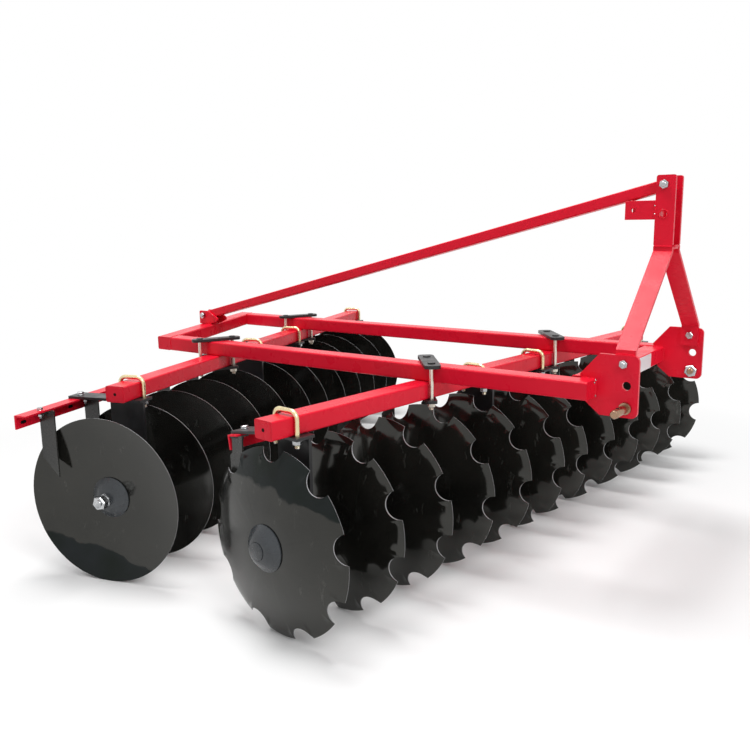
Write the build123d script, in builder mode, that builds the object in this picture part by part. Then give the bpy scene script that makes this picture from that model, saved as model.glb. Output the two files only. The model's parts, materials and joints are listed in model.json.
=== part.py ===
from build123d import *
from math import asin, cos, degrees, radians, sin, sqrt, tan
import os

# Offset disc harrow with two rows of gangs under a skewed frame.
# Millimetres. +X points forward, +Y to the machine's left, +Z up, the discs stand on Z = 0.

# Machine datum: front end of the frame rails, midway between them
datum_x = 1226.0
datum_y = -62.0

# Rectangular tube of the frame and of the gang beams, the beams above the discs
tube_wide = 80.0
tube_high = 60.0
tube_round = 7.0
beam_over_discs = 36.0
half_width = 475.0
near_rail_rear = -2084.0
rear_tube_skew = 23.3
front_tube_setback = 10.0

# Discs
disc_dia = 610.0
disc_thick = 6.0
dish_depth = 46.0
hub_flat_dia = 158.0
bevel_wide = 16.0
edge_thick = 2.0
disc_pitch = 246.0
discs_per_gang = 6
notch_count = 9
notch_radius = 46.0
notch_depth = 52.0

# Gang axles, spools and bearings
axle_square = 32.0
spool_flange_dia = 124.0
spool_flange_thick = 10.0
spool_cone_length = 30.0
spool_dia = 70.0
washer_dia = 150.0
washer_dish = 20.0
washer_edge = 5.0
head_dia = 54.0
head_length = 16.0
nut_across_flats = 56.0
nut_length = 30.0
stub_length = 14.0
stub_dia = 30.0
bearing_dia = 130.0
bearing_length = 58.0
bearing_clearance = 0.05
axle_behind_beam_front = 48.0

# Hangers
plate_thick = 10.0
web_thick = 12.0
web_front = -30.0
web_rear = 112.0
hanger_plate_long = 74.0
hanger_plate_past_web = 20.0
u_bolt_from_web = 33.0
u_bolt_dia = 16.0
u_bolt_hole_dia = 17.0
u_bolt_gap = 1.0
u_bolt_bend = 24.0
u_bolt_crown_gap = 7.0
u_bolt_tail = 26.0

# Scrapers
angle_leg = 50.0
angle_thick = 6.0
angle_rear = 288.0
arm_wide = 74.0
blade_thick = 6.0
blade_front = 218.0
blade_rear = 281.0
blade_foot = 44.0
blade_slant_below_plate = 178.0
blade_tip_below_plate = 251.0
blade_from_rim = 9.0
foot_gap = 1.0

# Clamps where rails and gang beams cross
clamp_bolt_offset = 52.0
clamp_bolt_dia = 16.0
clamp_strip_wide = 46.0
clamp_strip_thick = 12.0
clamp_strip_past_bolt = 18.4
clamp_bolt_tail = 24.0
clamp_hole_dia = 17.0
clamp_nut_flats = 24.0
clamp_nut_high = 13.0

# Three-point hitch, its heights from the frame's top and from the top link hole
hitch_plate_thick = 12.0
hitch_pin_dia = 28.0
hitch_pin_x = 100.0
pin_below_frame = 86.0
mast_height = 610.0
pin_collar_dia = 50.0
pin_collar_length = 17.5
pin_length = 70.0
pin_end_chamfer = 3.0
cross_hole_place = 54.0
pin_cross_hole = 12.0
spare_hole_dia = 28.5
spare_hole_below_frame = 14.0
plate_corner_round = 20.0
bar_wide = 65.0
bar_thick = 12.0
bar_rear = 56.0
bar_foot_above_frame = 16.0
bar_bend_above_frame = 100.0
bar_top_straight = 15.0
mast_below_hole = 110.0
mast_above_hole = 130.0
mast_outer = 94.0
mast_web_thick = 10.0
mast_web_below_top = 75.0
mast_corner_round = 8.0
top_hole_dia = 26.0
top_hole_x = 84.0
lug_thick = 16.0
lug_high = 56.0
lug_tail = -64.0
lug_hole_dia = 26.0
lug_hole_x = -34.0
lug_above_hole = 8.0

# Hitch plate corners from the top rear one: x from the datum, height from the frame's top
hitch_plate_corners = [
    (8.0, 84.0),
    (138.0, 84.0),
    (138.0, -118.0),
    (15.0, -118.0),
    (-32.0, -80.0),
    (-55.0, 12.0),
]

# Long brace from the mast to the rear tube, and its bracket there
brace_wide = 50.0
brace_high = 40.0
brace_round = 5.0
brace_end = 22.0
brace_bolt_below_top = 32.0
brace_bolt_dia = 24.0
brace_hole_dia = 24.6
brace_head_flats = 36.0
brace_head_high = 14.0
bracket_bolt_above_frame = 44.0
bracket_bolt_from_rear = 32.5673
bracket_side = 10.0
bracket_setback = 4.0
bracket_nose = 83.4637
bracket_top_round = 24.0

# The gangs stand turned by this many degrees, and each disc sits on its square axle by quarter turns
axle_turn = 12.0
disc_quarters = (0, 1, 3, 2, 0, 3)

# Worked-out levels
beam_bottom = disc_dia + beam_over_discs
beam_top = beam_bottom + tube_high
tube_bottom = beam_top
frame_top = tube_bottom + tube_high
plate_bottom = beam_bottom - plate_thick
axle_height = disc_dia / 2
rail_inner = half_width - tube_wide
plate_inner = rail_inner - hitch_plate_thick
lower_pin_height = frame_top - pin_below_frame
spare_hole_height = frame_top - spare_hole_below_frame
top_hole_height = lower_pin_height + mast_height
mast_foot = top_hole_height - mast_below_hole
mast_top = top_hole_height + mast_above_hole
mast_web_top = mast_top - mast_web_below_top
lug_hole_height = top_hole_height + lug_above_hole
brace_bolt_height = mast_top - brace_bolt_below_top
bracket_bolt_height = frame_top + bracket_bolt_above_frame
clamp_strip_long = 2 * (sqrt(2) * clamp_bolt_offset + clamp_strip_past_bolt)
foot_wide = angle_leg - angle_thick - 2 * foot_gap
foot_middle = angle_rear - angle_thick - foot_gap - foot_wide / 2
skew = tan(radians(rear_tube_skew))
skew_run = tube_wide / cos(radians(rear_tube_skew))

# Rows: name, beam corner x and y from the datum, beam heading, beam length, first rim plane,
# gap between the two gangs, side of the hollow (+1 far, -1 near), scraper bar start and end
rows = [
    ("front", -659.0, -1223.0, 6.2, 2550.0, 48.0, 192.0, 1, 40.0, 2770.0),
    ("rear", -1468.5, -1131.0, -17.75, 2566.0, -101.0, 215.0, -1, -230.0, 2600.0),
]


def rear_tube_front_face(y):
    """X of the front face of the skewed rear tube at a given Y."""
    return near_rail_rear + skew_run - (y + half_width) * skew


def row_plane(row, height=0.0):
    """Plane on a row's beam: X along the beam to the far side, Y to the rear."""
    turn = radians(row[3])
    return Plane(
        origin=(datum_x + row[1], datum_y + row[2], height),
        x_dir=(sin(turn), cos(turn), 0),
        z_dir=(0, 0, 1),
    )


def on_row(row, along, back, height):
    """A point given along a row's beam, back from its front face, and up."""
    return row_plane(row).from_local_coords(Vector(along, back, height))


def rim_places(row, gang):
    """Rim plane positions along the beam for one gang of a row."""
    first_rim, gang_gap = row[5], row[6]
    start = first_rim + gang * (disc_pitch * (discs_per_gang - 1) + gang_gap)
    return [start + disc_pitch * n for n in range(discs_per_gang)]


def hub_places(row, gang):
    """Hub centres, set off from the rims to the bulged side of the discs."""
    return [rim - row[7] * (dish_depth + disc_thick / 2) for rim in rim_places(row, gang)]


def web_places(row):
    """Positions of the four hanger webs of a row, in the middle of the outer spools of each gang."""
    places = []
    for gang in (0, 1):
        hubs = hub_places(row, gang)
        places.append((hubs[0] + hubs[1]) / 2)
        places.append((hubs[-2] + hubs[-1]) / 2)
    return places


def on_axle(row, along, turn=0.0):
    """Place on a gang's axle: Z toward the hollow side of the discs, X to the front, turned about Z."""
    base = row_plane(row)
    hollow = row[7]
    origin = on_row(row, along, axle_behind_beam_front, axle_height)
    square = Plane(origin=origin, x_dir=-base.y_dir, z_dir=base.x_dir * hollow)
    return square.location * Rotation(0, 0, -hollow * turn)


def cross_plane(row, along):
    """Vertical plane square to a row's beam: X back from the beam's front face, Y up from the ground."""
    base = row_plane(row)
    return Plane(origin=on_row(row, along, 0, 0), x_dir=base.y_dir, z_dir=base.x_dir)


def u_bolt_legs(web, hollow):
    """Places of a hanger's two U-bolt legs, front one first."""
    along = web - hollow * u_bolt_from_web
    leg_out = u_bolt_dia / 2 + u_bolt_gap
    return [(along, -leg_out), (along, tube_wide + leg_out)]


def crossing(row, side):
    """Place along a beam where its middle passes under a rail's middle."""
    turn = radians(row[3])
    rail_y = side * (half_width - tube_wide / 2)
    return (rail_y - row[2] - tube_wide / 2 * sin(turn)) / cos(turn)


def clamp_bolt_places(row, side):
    """The two bolts of a clamp, on opposite corners of the crossing."""
    cross, hollow = crossing(row, side), row[7]
    return [
        (cross + end * clamp_bolt_offset, tube_wide / 2 + end * hollow * clamp_bolt_offset)
        for end in (-1, 1)
    ]


def side_plane(y):
    """Vertical plane along the machine, drawn in X and Z, facing the near side."""
    return Plane(origin=(datum_x, datum_y + y, 0), x_dir=(1, 0, 0), z_dir=(0, -1, 0))


os.makedirs("parts", exist_ok=True)

# Frame rails, square in front and cut to the skewed rear tube
for name, inner, outer in (("near_rail", -rail_inner, -half_width), ("far_rail", rail_inner, half_width)):
    with BuildPart() as rail:
        with BuildSketch(Plane.XY.offset(tube_bottom)):
            with Locations((datum_x, datum_y)):
                Polygon(
                    (0, outer),
                    (0, inner),
                    (rear_tube_front_face(inner), inner),
                    (rear_tube_front_face(outer), outer),
                    align=None,
                )
        extrude(amount=tube_high)
        fillet(rail.edges().filter_by(Axis.X), radius=tube_round)
    rail.part.label = name
    export_step(rail.part, f"parts/{name}.step")

with BuildPart() as front_cross_tube:
    with BuildSketch(Plane.XY.offset(tube_bottom)):
        with Locations((datum_x - front_tube_setback - tube_wide / 2, datum_y)):
            Rectangle(tube_wide, 2 * plate_inner)
    extrude(amount=tube_high)
    fillet(front_cross_tube.edges().filter_by(Axis.Y), radius=tube_round)
front_cross_tube.part.label = "front_cross_tube"
export_step(front_cross_tube.part, "parts/front_cross_tube.step")

with BuildPart() as rear_cross_tube:
    with BuildSketch(Plane.XY.offset(tube_bottom)):
        with Locations((datum_x, datum_y)):
            Polygon(
                (rear_tube_front_face(-half_width), -half_width),
                (rear_tube_front_face(half_width), half_width),
                (rear_tube_front_face(half_width) - skew_run, half_width),
                (rear_tube_front_face(-half_width) - skew_run, -half_width),
                align=None,
            )
    extrude(amount=tube_high)
    long_edges = rear_cross_tube.edges().sort_by(SortBy.LENGTH)[-4:]
    fillet(long_edges, radius=tube_round)
rear_cross_tube.part.label = "rear_cross_tube"
export_step(rear_cross_tube.part, "parts/rear_cross_tube.step")

# Hitch plates on the inner sides of the rails, with their pins turned outward
for name, side in (("near", -1), ("far", 1)):
    with BuildPart() as hitch_plate:
        with BuildSketch(side_plane(side * (rail_inner - hitch_plate_thick / 2))) as outline:
            Polygon(*[(x, frame_top + rise) for x, rise in hitch_plate_corners], align=None)
            fillet(outline.vertices().group_by(Axis.X)[-1], radius=plate_corner_round)
            with Locations((hitch_pin_x, spare_hole_height)):
                Circle(spare_hole_dia / 2, mode=Mode.SUBTRACT)
        extrude(amount=hitch_plate_thick / 2, both=True)
    hitch_plate.part.label = f"{name}_hitch_plate"
    export_step(hitch_plate.part, f"parts/{name}_hitch_plate.step")

    pin_plane = Plane(
        origin=(datum_x + hitch_pin_x, datum_y + side * rail_inner, lower_pin_height),
        x_dir=(1, 0, 0),
        z_dir=(0, side, 0),
    )
    with BuildPart() as hitch_pin:
        with BuildSketch(pin_plane):
            Circle(pin_collar_dia / 2)
        extrude(amount=pin_collar_length)
        with BuildSketch(pin_plane.offset(pin_collar_length)):
            Circle(hitch_pin_dia / 2)
        extrude(amount=pin_length)
        pin_end = hitch_pin.faces().sort_by(Axis.Y)[0 if side < 0 else -1]
        chamfer(pin_end.edges(), length=pin_end_chamfer)
        cross_hole_y = datum_y + side * (rail_inner + pin_collar_length + cross_hole_place)
        with BuildSketch(Plane.XY.offset(lower_pin_height)):
            with Locations((datum_x + hitch_pin_x, cross_hole_y)):
                Circle(pin_cross_hole / 2)
        extrude(amount=hitch_pin_dia, both=True, mode=Mode.SUBTRACT)
    hitch_pin.part.label = f"{name}_hitch_pin"
    export_step(hitch_pin.part, f"parts/{name}_hitch_pin.step")

# A-frame bars, bent to lie on the hitch plates and to run up into the mast
bar_path = [
    (plate_inner, frame_top + bar_foot_above_frame),
    (plate_inner, frame_top + bar_bend_above_frame),
    (mast_outer / 2, mast_foot - bar_top_straight),
    (mast_outer / 2, mast_foot),
]
bar_plane = Plane(origin=(datum_x + bar_rear, datum_y, 0), x_dir=(0, 1, 0), z_dir=(1, 0, 0))
for name, side in (("near", -1), ("far", 1)):
    with BuildPart() as a_bar:
        with BuildSketch(bar_plane):
            with BuildLine():
                Polyline(*[(side * across, height) for across, height in bar_path])
                offset(amount=bar_thick, side=Side.LEFT if side > 0 else Side.RIGHT)
            make_face()
        extrude(amount=bar_wide)
    a_bar.part.label = f"{name}_a_frame_bar"
    export_step(a_bar.part, f"parts/{name}_a_frame_bar.step")

# Mast: two cheeks on the bar tops with a web set back between them
with BuildPart() as mast:
    for side in (-1, 1):
        with BuildSketch(side_plane(side * (mast_outer - bar_thick) / 2)) as cheek:
            with Locations((bar_rear + bar_wide / 2, (mast_foot + mast_top) / 2)):
                Rectangle(bar_wide, mast_top - mast_foot)
            fillet(cheek.vertices().group_by(Axis.Z)[-1], radius=mast_corner_round)
            with Locations((top_hole_x, top_hole_height)):
                Circle(top_hole_dia / 2, mode=Mode.SUBTRACT)
            with Locations((top_hole_x, brace_bolt_height)):
                Circle(brace_hole_dia / 2, mode=Mode.SUBTRACT)
        extrude(amount=bar_thick / 2, both=True)
    with BuildSketch(side_plane(0)):
        with Locations((bar_rear + mast_web_thick / 2, (mast_foot + mast_web_top) / 2)):
            Rectangle(mast_web_thick, mast_web_top - mast_foot)
    extrude(amount=mast_outer / 2 - bar_thick, both=True)
mast.part.label = "mast"
export_step(mast.part, "parts/mast.step")

# Lug with a hole behind the mast's web
with BuildPart() as mast_lug:
    with BuildSketch(side_plane(0)):
        with Locations(((bar_rear + lug_hole_x) / 2, lug_hole_height)):
            Rectangle(bar_rear - lug_hole_x, lug_high)
        with Locations((lug_hole_x, lug_hole_height)):
            Circle(lug_high / 2)
            Circle(lug_hole_dia / 2, mode=Mode.SUBTRACT)
    extrude(amount=lug_thick / 2, both=True)
mast_lug.part.label = "mast_lug"
export_step(mast_lug.part, "parts/mast_lug.step")

# Long brace from the mast down to the rear tube, and its bracket there
bracket_rear = rear_tube_front_face(0) - skew_run + bracket_setback
bracket_foot_front = rear_tube_front_face(0) - bracket_setback
bracket_front = bracket_foot_front + bracket_nose
bracket_bolt_x = bracket_rear + bracket_bolt_from_rear
brace_run = top_hole_x - bracket_bolt_x
brace_rise = brace_bolt_height - bracket_bolt_height
brace_length = sqrt(brace_run**2 + brace_rise**2)
brace_bolt_places = [(top_hole_x, brace_bolt_height), (bracket_bolt_x, bracket_bolt_height)]
with BuildPart() as brace:
    with BuildSketch(side_plane(0)):
        middle = ((top_hole_x + bracket_bolt_x) / 2, (brace_bolt_height + bracket_bolt_height) / 2)
        with Locations(middle):
            Rectangle(
                brace_length + 2 * brace_end,
                brace_high,
                rotation=degrees(asin(brace_rise / brace_length)),
            )
    extrude(amount=brace_wide / 2, both=True)
    fillet(brace.edges().sort_by(SortBy.LENGTH)[-4:], radius=brace_round)
    with BuildSketch(side_plane(0)):
        with Locations(*brace_bolt_places):
            Circle(brace_hole_dia / 2)
    extrude(amount=brace_wide, both=True, mode=Mode.SUBTRACT)
brace.part.label = "brace"
export_step(brace.part, "parts/brace.step")

with BuildPart() as brace_bracket:
    with BuildSketch(Plane.XY.offset(frame_top)):
        with Locations((datum_x + (bracket_rear + bracket_foot_front) / 2, datum_y)):
            Rectangle(bracket_foot_front - bracket_rear, brace_wide + 2 * bracket_side)
    extrude(amount=bracket_side)
    for side in (-1, 1):
        cheek_middle = side * ((brace_wide + bracket_side) / 2)
        with BuildSketch(side_plane(cheek_middle)) as cheek:
            Polygon(
                (bracket_rear, frame_top),
                (bracket_foot_front, frame_top),
                (bracket_front, bracket_bolt_height),
                (bracket_front, bracket_bolt_height + bracket_top_round),
                (bracket_rear, bracket_bolt_height + bracket_top_round),
                align=None,
            )
            fillet(cheek.vertices().group_by(Axis.Z)[-1], radius=bracket_top_round / 2)
            with Locations((bracket_bolt_x, bracket_bolt_height)):
                Circle(brace_hole_dia / 2, mode=Mode.SUBTRACT)
        extrude(amount=bracket_side / 2, both=True)
brace_bracket.part.label = "brace_bracket"
export_step(brace_bracket.part, "parts/brace_bracket.step")

# Bolts through the brace's two ends, with hex heads and nuts against the cheeks
with BuildPart() as brace_bolts:
    for place, cheeks_wide in zip(brace_bolt_places, (mast_outer, brace_wide + 2 * bracket_side)):
        with BuildSketch(side_plane(0)):
            with Locations(place):
                Circle(brace_bolt_dia / 2)
        extrude(amount=cheeks_wide / 2, both=True)
        for side in (-1, 1):
            with BuildSketch(side_plane(side * (cheeks_wide + brace_head_high) / 2)):
                with Locations(place):
                    RegularPolygon(brace_head_flats / 2, 6, major_radius=False)
            extrude(amount=brace_head_high / 2, both=True)
brace_bolts.part.label = "brace_bolts"
export_step(brace_bolts.part, "parts/brace_bolts.step")

# One disc lying on its hub: hollow side up, bulge down, the hub's middle at Z = 0
bowl_radius = ((disc_dia / 2) ** 2 - (hub_flat_dia / 2) ** 2) / (2 * dish_depth)


def bowl_rise(radius):
    """Rise of the bowl's inner face above the hub flat."""
    return (radius**2 - (hub_flat_dia / 2) ** 2) / (2 * bowl_radius)


bowl_middle = (disc_dia + hub_flat_dia) / 4
bevel_start = disc_dia / 2 - bevel_wide
notch_ring = disc_dia / 2 - notch_depth + notch_radius
discs = {}
for style, notches in (("plain", 0), ("notched", notch_count)):
    with BuildPart() as disc:
        with BuildSketch(Plane.XZ):
            with BuildLine():
                top, under = disc_thick / 2, -disc_thick / 2
                hub_edge, rim = hub_flat_dia / 2, disc_dia / 2
                Line((0, under), (0, top))
                Line((0, top), (hub_edge, top))
                ThreePointArc((hub_edge, top), (bowl_middle, top + bowl_rise(bowl_middle)), (rim, top + dish_depth))
                Line((rim, top + dish_depth), (rim, top + dish_depth - edge_thick))
                Line((rim, top + dish_depth - edge_thick), (bevel_start, under + bowl_rise(bevel_start)))
                bowl_half = (hub_edge + bevel_start) / 2
                ThreePointArc(
                    (bevel_start, under + bowl_rise(bevel_start)),
                    (bowl_half, under + bowl_rise(bowl_half)),
                    (hub_edge, under),
                )
                Line((hub_edge, under), (0, under))
            make_face()
        revolve(axis=Axis.Z)
        with BuildSketch(Plane.XY):
            Rectangle(axle_square, axle_square)
            if notches:
                with PolarLocations(notch_ring, notches):
                    Circle(notch_radius)
        extrude(amount=2 * dish_depth, both=True, mode=Mode.SUBTRACT)
    discs[style] = disc.part

# One spool, standing on its end
with BuildPart() as spool:
    with BuildSketch(Plane.XZ):
        with BuildLine():
            half = (disc_pitch - disc_thick) / 2
            cone_end = half - spool_flange_thick - spool_cone_length
            Polyline(
                (0, -half),
                (spool_flange_dia / 2, -half),
                (spool_flange_dia / 2, -half + spool_flange_thick),
                (spool_dia / 2, -cone_end),
                (spool_dia / 2, cone_end),
                (spool_flange_dia / 2, half - spool_flange_thick),
                (spool_flange_dia / 2, half),
                (0, half),
                close=True,
            )
        make_face()
    revolve(axis=Axis.Z)
    with BuildSketch(Plane.XY):
        Rectangle(axle_square, axle_square)
    extrude(amount=disc_pitch, both=True, mode=Mode.SUBTRACT)

# One gang axle from the first hub: round head on the bulged side, nut on the hollow side
axle_start = -disc_thick / 2
axle_end = disc_pitch * (discs_per_gang - 1) + disc_thick / 2
with BuildPart() as axle:
    with BuildSketch(Plane.XY.offset(axle_start)):
        Rectangle(axle_square, axle_square)
    extrude(amount=axle_end - axle_start)
    for start, outward, tip_radius, tip_length in (
        (axle_start, -1, head_dia / 2, head_length),
        (axle_end, 1, stub_dia / 2, nut_length + stub_length),
    ):
        with BuildSketch(Plane.XZ):
            with BuildLine():
                dome_top = start + outward * washer_dish
                Line((0, start), (washer_dia / 2, start))
                Line((washer_dia / 2, start), (washer_dia / 2, start + outward * washer_edge))
                ThreePointArc(
                    (washer_dia / 2, start + outward * washer_edge),
                    ((washer_dia + head_dia) / 4, start + outward * (washer_dish * 0.75 + washer_edge * 0.25)),
                    (head_dia / 2, dome_top),
                )
                Line((head_dia / 2, dome_top), (0, dome_top))
                Line((0, dome_top), (0, start))
            make_face()
        revolve(axis=Axis.Z)
        with BuildSketch(Plane.XY.offset(dome_top)):
            Circle(tip_radius)
        extrude(amount=outward * tip_length)
    with BuildSketch(Plane.XY.offset(axle_end + washer_dish)):
        RegularPolygon(nut_across_flats / 2, 6, major_radius=False)
    extrude(amount=nut_length)

# Gangs
for row in rows:
    style = "notched" if row[0] == "front" else "plain"
    for gang, place in enumerate(("near", "far")):
        hubs = hub_places(row, gang)
        name = f"{row[0]}_{place}"
        with BuildPart() as gang_discs:
            for number, hub in enumerate(hubs):
                with Locations(on_axle(row, hub, axle_turn + 90 * disc_quarters[number])):
                    add(discs[style])
        gang_discs.part.label = f"{name}_discs"
        export_step(gang_discs.part, f"parts/{name}_discs.step")
        with BuildPart() as gang_spools:
            for first, second in zip(hubs, hubs[1:]):
                with Locations(on_axle(row, (first + second) / 2, axle_turn)):
                    add(spool.part)
        gang_spools.part.label = f"{name}_spools"
        export_step(gang_spools.part, f"parts/{name}_spools.step")
        with BuildPart() as gang_axle:
            with Locations(on_axle(row, hubs[0] if row[7] > 0 else hubs[-1], axle_turn)):
                add(axle.part)
        gang_axle.part.label = f"{name}_axle"
        export_step(gang_axle.part, f"parts/{name}_axle.step")

# Beams, hangers, bearings, scrapers and clamps of each row
for row in rows:
    name, hollow, beam_length = row[0], row[7], row[4]
    bar_start, bar_end = row[8:]
    webs = web_places(row)

    with BuildPart() as beam:
        with BuildSketch(row_plane(row, beam_bottom)):
            with Locations((beam_length / 2, tube_wide / 2)):
                Rectangle(beam_length, tube_wide)
        extrude(amount=tube_high)
        fillet(beam.edges().sort_by(SortBy.LENGTH)[-4:], radius=tube_round)
    beam.part.label = f"{name}_gang_beam"
    export_step(beam.part, f"parts/{name}_gang_beam.step")

    with BuildPart() as hanger_plates:
        with BuildSketch(row_plane(row, plate_bottom)):
            for web in webs:
                plate_middle = web - hollow * (hanger_plate_long / 2 - hanger_plate_past_web)
                with Locations((plate_middle, (web_front + web_rear) / 2)):
                    Rectangle(hanger_plate_long, web_rear - web_front)
                with Locations((plate_middle, (web_rear + angle_rear) / 2)):
                    Rectangle(arm_wide, angle_rear - web_rear)
                with Locations(*u_bolt_legs(web, hollow)):
                    Circle(u_bolt_hole_dia / 2, mode=Mode.SUBTRACT)
        extrude(amount=plate_thick)
    hanger_plates.part.label = f"{name}_hanger_plates"
    export_step(hanger_plates.part, f"parts/{name}_hanger_plates.step")

    with BuildPart() as hangers:
        for web in webs:
            with BuildSketch(cross_plane(row, web)):
                Polygon(
                    (web_front, plate_bottom),
                    (web_front, axle_height + bearing_dia / 2),
                    (axle_behind_beam_front - bearing_dia / 2, axle_height),
                    (axle_behind_beam_front + bearing_dia / 2, axle_height),
                    (web_rear, axle_height + bearing_dia / 2),
                    (web_rear, plate_bottom),
                    align=None,
                )
            extrude(amount=web_thick / 2, both=True)
            with BuildSketch(cross_plane(row, web)):
                with Locations((axle_behind_beam_front, axle_height)):
                    Circle(bearing_dia / 2)
            extrude(amount=bearing_length / 2, both=True)
            with BuildSketch(cross_plane(row, web)):
                with Locations((axle_behind_beam_front, axle_height)):
                    Circle(spool_dia / 2 + bearing_clearance)
            extrude(amount=bearing_length, both=True, mode=Mode.SUBTRACT)
    hangers.part.label = f"{name}_bearing_hangers"
    export_step(hangers.part, f"parts/{name}_bearing_hangers.step")

    with BuildPart() as u_bolts:
        for web in webs:
            front_leg, rear_leg = u_bolt_legs(web, hollow)
            bolt_plane = cross_plane(row, front_leg[0])
            crown = beam_top + u_bolt_dia / 2 + u_bolt_crown_gap
            foot = plate_bottom - u_bolt_tail
            with BuildLine(bolt_plane) as route:
                FilletPolyline(
                    (front_leg[1], foot),
                    (front_leg[1], crown),
                    (rear_leg[1], crown),
                    (rear_leg[1], foot),
                    radius=u_bolt_bend,
                )
            with BuildSketch(row_plane(row, foot)):
                with Locations(front_leg):
                    Circle(u_bolt_dia / 2)
            sweep(path=route.line)
    u_bolts.part.label = f"{name}_u_bolts"
    export_step(u_bolts.part, f"parts/{name}_u_bolts.step")

    with BuildPart() as scraper_bar:
        with BuildSketch(cross_plane(row, bar_start)):
            Polygon(
                (angle_rear, plate_bottom),
                (angle_rear, plate_bottom - angle_leg),
                (angle_rear - angle_thick, plate_bottom - angle_leg),
                (angle_rear - angle_thick, plate_bottom - angle_thick),
                (angle_rear - angle_leg, plate_bottom - angle_thick),
                (angle_rear - angle_leg, plate_bottom),
                align=None,
            )
        extrude(amount=bar_end - bar_start)
    scraper_bar.part.label = f"{name}_scraper_bar"
    export_step(scraper_bar.part, f"parts/{name}_scraper_bar.step")

    with BuildPart() as blades:
        blade_top = plate_bottom - angle_thick
        for rim in rim_places(row, 0) + rim_places(row, 1):
            with BuildSketch(cross_plane(row, rim + hollow * blade_from_rim)):
                Polygon(
                    (blade_front, blade_top),
                    (blade_rear, blade_top),
                    (blade_rear, plate_bottom - blade_slant_below_plate),
                    (blade_front, plate_bottom - blade_tip_below_plate),
                    align=None,
                )
            extrude(amount=hollow * blade_thick)
            with BuildSketch(row_plane(row, blade_top)):
                with Locations((rim + hollow * (blade_from_rim + blade_foot / 2), foot_middle)):
                    Rectangle(blade_foot, foot_wide)
            extrude(amount=-blade_thick)
    blades.part.label = f"{name}_scraper_blades"
    export_step(blades.part, f"parts/{name}_scraper_blades.step")

    with BuildPart() as clamp_strips:
        for side in (-1, 1):
            for level in (frame_top, beam_bottom - clamp_strip_thick):
                with BuildSketch(row_plane(row, level)):
                    with Locations((crossing(row, side), tube_wide / 2)):
                        Rectangle(clamp_strip_long, clamp_strip_wide, rotation=hollow * 45)
                    with Locations(*clamp_bolt_places(row, side)):
                        Circle(clamp_hole_dia / 2, mode=Mode.SUBTRACT)
                extrude(amount=clamp_strip_thick)
    clamp_strips.part.label = f"{name}_clamp_strips"
    export_step(clamp_strips.part, f"parts/{name}_clamp_strips.step")

    with BuildPart() as clamp_bolts:
        foot = beam_bottom - clamp_strip_thick
        head = frame_top + clamp_strip_thick
        for side in (-1, 1):
            with BuildSketch(row_plane(row, foot - clamp_bolt_tail)):
                with Locations(*clamp_bolt_places(row, side)):
                    Circle(clamp_bolt_dia / 2)
            extrude(amount=head - foot + clamp_bolt_tail)
            for level in (head, foot - clamp_nut_high):
                with BuildSketch(row_plane(row, level)):
                    with Locations(*clamp_bolt_places(row, side)):
                        RegularPolygon(clamp_nut_flats / 2, 6, major_radius=False)
                extrude(amount=clamp_nut_high)
    clamp_bolts.part.label = f"{name}_clamp_bolts"
    export_step(clamp_bolts.part, f"parts/{name}_clamp_bolts.step")
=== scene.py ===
import json
from collections import namedtuple
from math import acos, atan2, cos, hypot, pi, radians, sin, sqrt, tan

import bmesh
import bpy
from mathutils import Matrix, Vector

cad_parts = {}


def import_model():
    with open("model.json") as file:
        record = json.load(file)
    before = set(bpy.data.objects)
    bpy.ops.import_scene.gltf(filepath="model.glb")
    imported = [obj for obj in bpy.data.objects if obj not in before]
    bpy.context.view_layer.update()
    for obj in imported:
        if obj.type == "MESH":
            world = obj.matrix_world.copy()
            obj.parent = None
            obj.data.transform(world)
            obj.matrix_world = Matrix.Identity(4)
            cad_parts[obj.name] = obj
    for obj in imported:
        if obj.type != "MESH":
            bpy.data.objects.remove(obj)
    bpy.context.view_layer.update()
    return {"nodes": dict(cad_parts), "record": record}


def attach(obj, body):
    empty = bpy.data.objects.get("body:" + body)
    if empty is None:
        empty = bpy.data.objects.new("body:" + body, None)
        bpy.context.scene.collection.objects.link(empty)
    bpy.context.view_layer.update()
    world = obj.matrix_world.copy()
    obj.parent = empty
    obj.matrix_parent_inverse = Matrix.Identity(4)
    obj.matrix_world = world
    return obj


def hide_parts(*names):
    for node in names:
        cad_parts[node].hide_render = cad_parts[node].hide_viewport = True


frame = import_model()

# The machine datum, the front end of the frame rails midway between them, in metres
DATUM = Vector((1.226, -0.062, 0))
X, Y, Z = Vector((1, 0, 0)), Vector((0, 1, 0)), Vector((0, 0, 1))

# Camera found from the photograph, from the machine datum
CAMERA_PLACE = Vector((0.90799, -2.86245, 1.27237))
CAMERA_AZIMUTH = 0.62901
CAMERA_DROP = 0.18900
CAMERA_ROLL = -0.01378
FOCAL_PIXELS = 794.393
IMAGE_PIXELS = 750
SENSOR = 36.0

# Levels and sizes repeated from the model
FRAME_TOP = 0.766
BEAM_TOP = 0.706
BEAM_BOTTOM = 0.646
PLATE_BOTTOM = 0.636
TUBE_WIDE = 0.080
TUBE_HIGH = 0.060
HALF_WIDTH = 0.475
RAIL_INNER = 0.395
PLATE_INNER = 0.383
BAR_INNER = 0.371
TUBE_SETBACK = 0.010
REAR_SKEW = radians(23.3)
NEAR_RAIL_REAR = -2.084
AXLE_HEIGHT = 0.305
AXLE_BACK = 0.048
AXLE_TURN = radians(12)
AXLE_HALF = 0.016
DISC_RADIUS = 0.305
DISC_PITCH = 0.246
DISC_HALF_THICK = 0.003
DISH = 0.046
HUB_RADIUS = 0.079
WASHER_RADIUS = 0.075
U_BOLT_FROM_WEB = 0.033
U_BOLT_OUT = 0.009
PLATE_FRONT = -0.030
WEB_REAR = 0.112
PLATE_THICK = 0.010
PLATE_HALF = 0.037
PLATE_SHIFT = 0.017
CLAMP_OFFSET = 0.052
PIN_X, PIN_Z = 0.100, 0.680
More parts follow.
